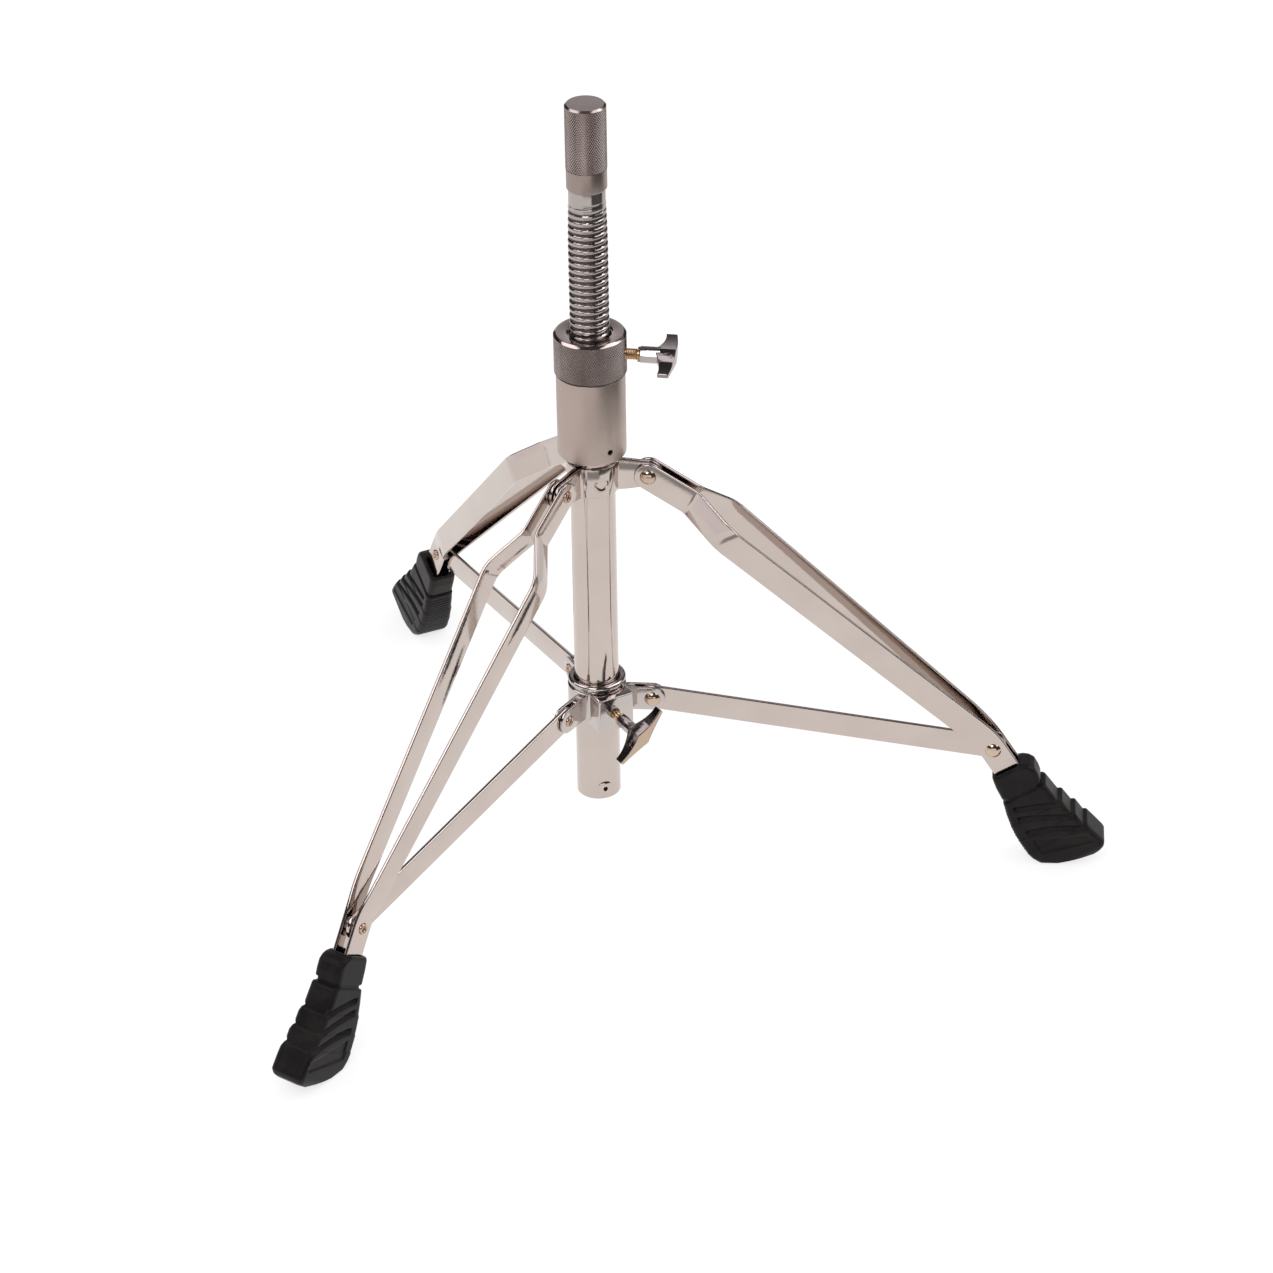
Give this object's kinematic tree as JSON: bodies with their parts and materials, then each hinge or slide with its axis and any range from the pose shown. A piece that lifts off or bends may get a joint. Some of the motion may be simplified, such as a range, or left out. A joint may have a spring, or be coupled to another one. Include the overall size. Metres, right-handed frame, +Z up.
{
  "type": "drum throne tripod base",
  "caption": "Folding tripod base with a height-adjusting threaded seat post, a knurled lock nut, double-strip legs, braces and rubber feet.",
  "frame": {"origin": "on the floor, on the column's axis, with the legs spread and the rubber feet standing on the floor", "axes": "+Z up, along the column; +Y towards the back leg; the other two legs point to 210 and 330 degrees about +Z"},
  "size_m": [0.6582, 0.57, 0.595],
  "materials": {
    "knurled_steel": "bright chrome, finely knurled",
    "thread_steel": "bright plated thread",
    "nylon": "natural nylon",
    "bolt_steel": "plain zinc",
    "nut_steel": "satin plate, knurled",
    "brass_screw": "yellow zinc plate",
    "handle_chrome": "bright chrome",
    "satin_steel": "satin chrome",
    "bushing_steel": "plain machined steel",
    "black_steel": "black oxide",
    "tube_chrome": "bright chrome",
    "stamped_chrome": "bright chrome",
    "collar_chrome": "bright chrome",
    "strip_chrome": "bright chrome",
    "washer_steel": "plain zinc",
    "rivet_steel": "warm bright plate",
    "rubber": "soft black rubber"
  },
  "bodies": {
    "base": {"main_tube": "tube_chrome", "spindle_housing": "satin_steel", "threaded_bushing": "bushing_steel", "housing_set_screw": "black_steel", "upper_brackets": "stamped_chrome", "upper_bracket_eyelets": "rivet_steel"},
    "nut": {"height_nut": "nut_steel"},
    "nut_lock": {"nut_lock_screw": "brass_screw", "nut_lock_handle": "handle_chrome"},
    "guide": {"spindle_guide_disc": "nylon"},
    "spindle": {"threaded_spindle": "thread_steel", "seat_post": "knurled_steel", "guide_disc_screw": "bolt_steel"},
    "collar": {"sliding_collar": "collar_chrome", "collar_rivets": "rivet_steel"},
    "collar_clamp": {"collar_clamp_screw": "brass_screw", "collar_clamp_handle": "handle_chrome"},
    "back_brace": {"back_brace": "strip_chrome"},
    "back_leg": {"back_leg_strip_a": "strip_chrome", "back_leg_strip_b": "strip_chrome", "back_leg_rivets": "rivet_steel", "back_leg_washers": "washer_steel", "back_foot": "rubber"},
    "left_brace": {"left_brace": "strip_chrome"},
    "left_leg": {"left_leg_strip_a": "strip_chrome", "left_leg_strip_b": "strip_chrome", "left_leg_rivets": "rivet_steel", "left_leg_washers": "washer_steel", "left_foot": "rubber"},
    "right_brace": {"right_brace": "strip_chrome"},
    "right_leg": {"right_leg_strip_a": "strip_chrome", "right_leg_strip_b": "strip_chrome", "right_leg_rivets": "rivet_steel", "right_leg_washers": "washer_steel", "right_foot": "rubber"}
  },
  "joints": [
    {"name": "spindle_height", "type": "slide", "parent": "base", "child": "guide", "axis": [0, 0, 1], "range_m": [-0.105, 0.06]},
    {"name": "spindle_turn", "type": "hinge", "parent": "guide", "child": "spindle", "pos_m": [0, 0, 0.3], "axis": [0, 0, 1], "range_deg": [-7340.8, 4195.2]},
    {"name": "nut_turn", "type": "hinge", "parent": "base", "child": "nut", "pos_m": [0, 0, 0.4088], "axis": [0, 0, 1], "range_deg": [0, 330]},
    {"name": "nut_lock_turn", "type": "hinge", "parent": "nut", "child": "nut_lock", "pos_m": [0.02487, -0.01678, 0.4083], "axis": [0.829, -0.5592, 0], "range_deg": [0, 330]},
    {"name": "collar_slide", "type": "slide", "parent": "base", "child": "collar", "axis": [0, 0, 1], "range_m": [0, 0.10396]},
    {"name": "collar_clamp_turn", "type": "hinge", "parent": "collar", "child": "collar_clamp", "pos_m": [0.00314, -0.02984, 0.1236], "axis": [0.1045, -0.9945, 0], "range_deg": [0, 330]},
    {"name": "back_brace_fold", "type": "hinge", "parent": "collar", "child": "back_brace", "pos_m": [0, 0.0405, 0.127], "axis": [-1, 0, 0], "range_deg": [0, 76.68]},
    {"name": "back_leg_fold", "type": "hinge", "parent": "back_brace", "child": "back_leg", "pos_m": [0, 0.288, 0.0935], "axis": [-1, 0, 0], "range_deg": [-32.68, 0]},
    {"name": "left_brace_fold", "type": "hinge", "parent": "collar", "child": "left_brace", "pos_m": [-0.03507, -0.02025, 0.127], "axis": [0.5, -0.866, 0], "range_deg": [0, 76.68]},
    {"name": "left_leg_fold", "type": "hinge", "parent": "left_brace", "child": "left_leg", "pos_m": [-0.24942, -0.144, 0.0935], "axis": [0.5, -0.866, 0], "range_deg": [-32.68, 0]},
    {"name": "right_brace_fold", "type": "hinge", "parent": "collar", "child": "right_brace", "pos_m": [0.03507, -0.02025, 0.127], "axis": [0.5, 0.866, 0], "range_deg": [0, 76.68]},
    {"name": "right_leg_fold", "type": "hinge", "parent": "right_brace", "child": "right_leg", "pos_m": [0.24942, -0.144, 0.0935], "axis": [0.5, 0.866, 0], "range_deg": [-32.68, 0]}
  ],
  "couplings": [
    {"joint": "spindle_turn", "follows": "spindle_height", "rad_per_m": 1220},
    {"joint": "back_brace_fold", "follows": "collar_slide", "rad_per_m": 12.841},
    {"joint": "back_leg_fold", "follows": "collar_slide", "rad_per_m": -5.4535},
    {"joint": "left_brace_fold", "follows": "collar_slide", "rad_per_m": 12.841},
    {"joint": "left_leg_fold", "follows": "collar_slide", "rad_per_m": -5.4535},
    {"joint": "right_brace_fold", "follows": "collar_slide", "rad_per_m": 12.841},
    {"joint": "right_leg_fold", "follows": "collar_slide", "rad_per_m": -5.4535}
  ]
}
